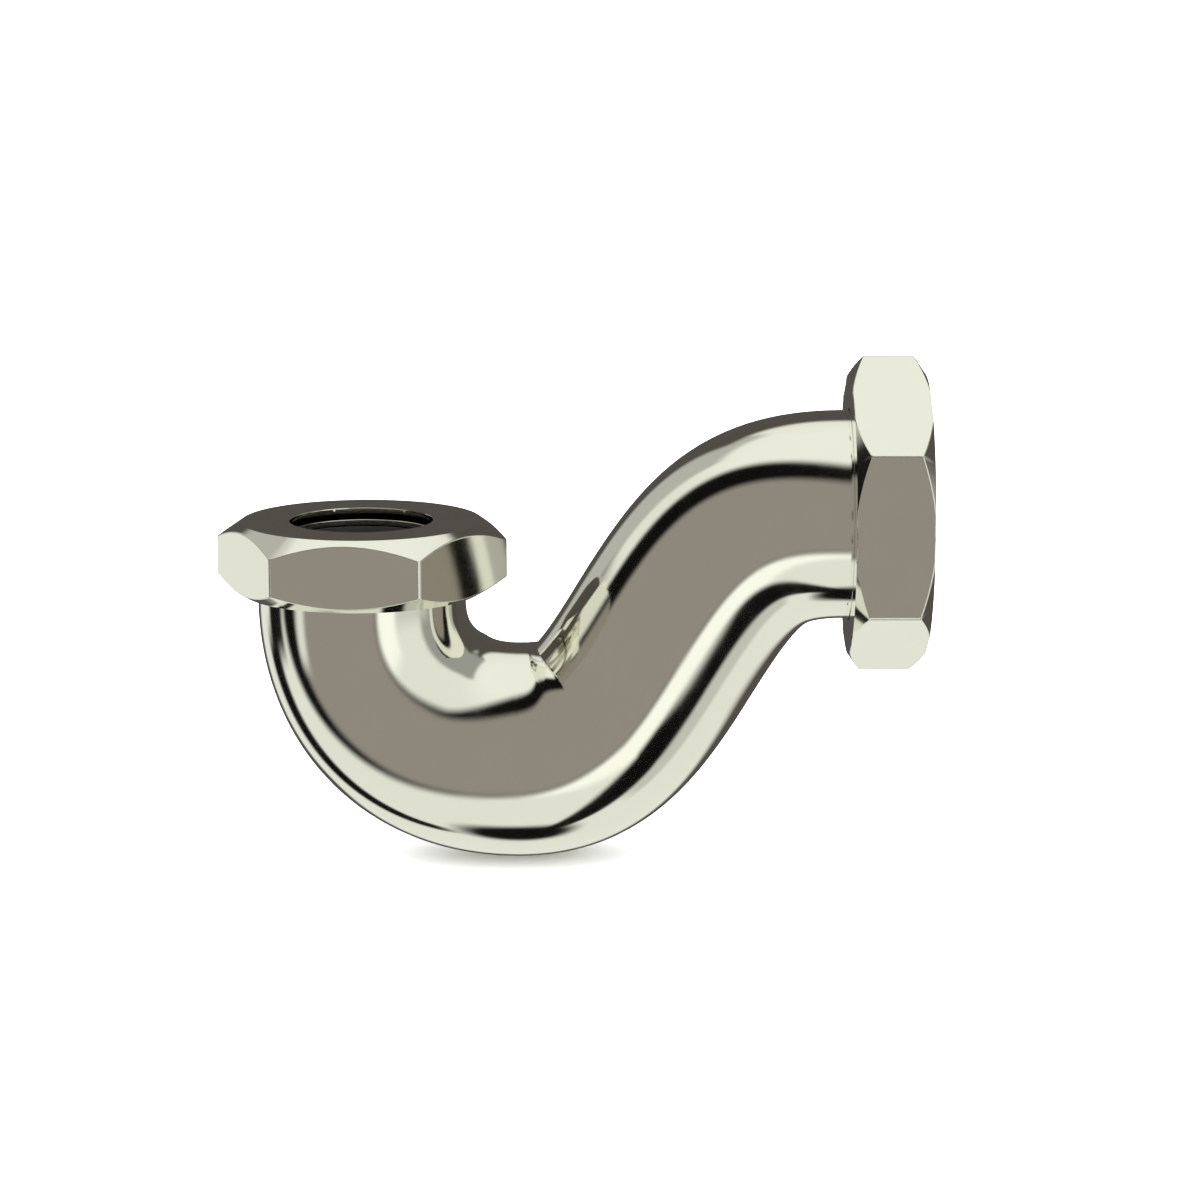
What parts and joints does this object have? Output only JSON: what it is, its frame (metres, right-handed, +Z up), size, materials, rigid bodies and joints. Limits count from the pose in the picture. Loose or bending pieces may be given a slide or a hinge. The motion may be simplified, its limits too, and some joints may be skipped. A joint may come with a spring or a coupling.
{
  "type": "p trap",
  "caption": "Bent plumbing trap body with a threaded mouth at each end, and a hexagon slip nut, friction ring and rubber washer on each mouth.",
  "frame": {"origin": "centre of the rim of the inlet mouth, where the sink's tailpiece comes down from above", "axes": "+Z up along the inlet mouth's axis; +X along the outlet, towards the wall; the bends lie in the XZ plane"},
  "size_m": [0.1614, 0.063, 0.116],
  "materials": {
    "polished_nickel": "polished nickel plate on cast brass",
    "ring_nickel": "stamped brass, nickel plated, satin",
    "black_rubber": "matte moulded"
  },
  "bodies": {
    "trap": {"trap_body": "polished_nickel"},
    "inlet_ring": {"inlet_friction_ring": "ring_nickel"},
    "inlet_nut": {"inlet_nut": "polished_nickel"},
    "inlet_washer": {"inlet_washer": "black_rubber"},
    "outlet_ring": {"outlet_friction_ring": "ring_nickel"},
    "outlet_nut": {"outlet_nut": "polished_nickel"},
    "outlet_washer": {"outlet_washer": "black_rubber"}
  },
  "joints": [
    {"name": "inlet_nut_travel", "type": "slide", "parent": "trap", "child": "inlet_ring", "axis": [0, 0, 1], "range_m": [0, 0.00775]},
    {"name": "inlet_nut_turn", "type": "hinge", "parent": "inlet_ring", "child": "inlet_nut", "pos_m": [0, 0, 0], "axis": [0, 0, 1], "range_deg": [0, 1260]},
    {"name": "inlet_washer_travel", "type": "slide", "parent": "trap", "child": "inlet_washer", "axis": [0, 0, 1], "range_m": [0, 0.00388]},
    {"name": "outlet_nut_travel", "type": "slide", "parent": "trap", "child": "outlet_ring", "axis": [1, 0, 0], "range_m": [0, 0.00885]},
    {"name": "outlet_nut_turn", "type": "hinge", "parent": "outlet_ring", "child": "outlet_nut", "pos_m": [0.1197, 0, 0.0097], "axis": [1, 0, 0], "range_deg": [0, 1440]},
    {"name": "outlet_washer_travel", "type": "slide", "parent": "trap", "child": "outlet_washer", "axis": [1, 0, 0], "range_m": [0, 0.00443]}
  ],
  "couplings": [
    {"joint": "inlet_nut_travel", "follows": "inlet_nut_turn", "m_per_rad": 0.00035152},
    {"joint": "inlet_washer_travel", "follows": "inlet_nut_turn", "m_per_rad": 0.00017576},
    {"joint": "outlet_nut_travel", "follows": "outlet_nut_turn", "m_per_rad": 0.00035152},
    {"joint": "outlet_washer_travel", "follows": "outlet_nut_turn", "m_per_rad": 0.00017576}
  ]
}
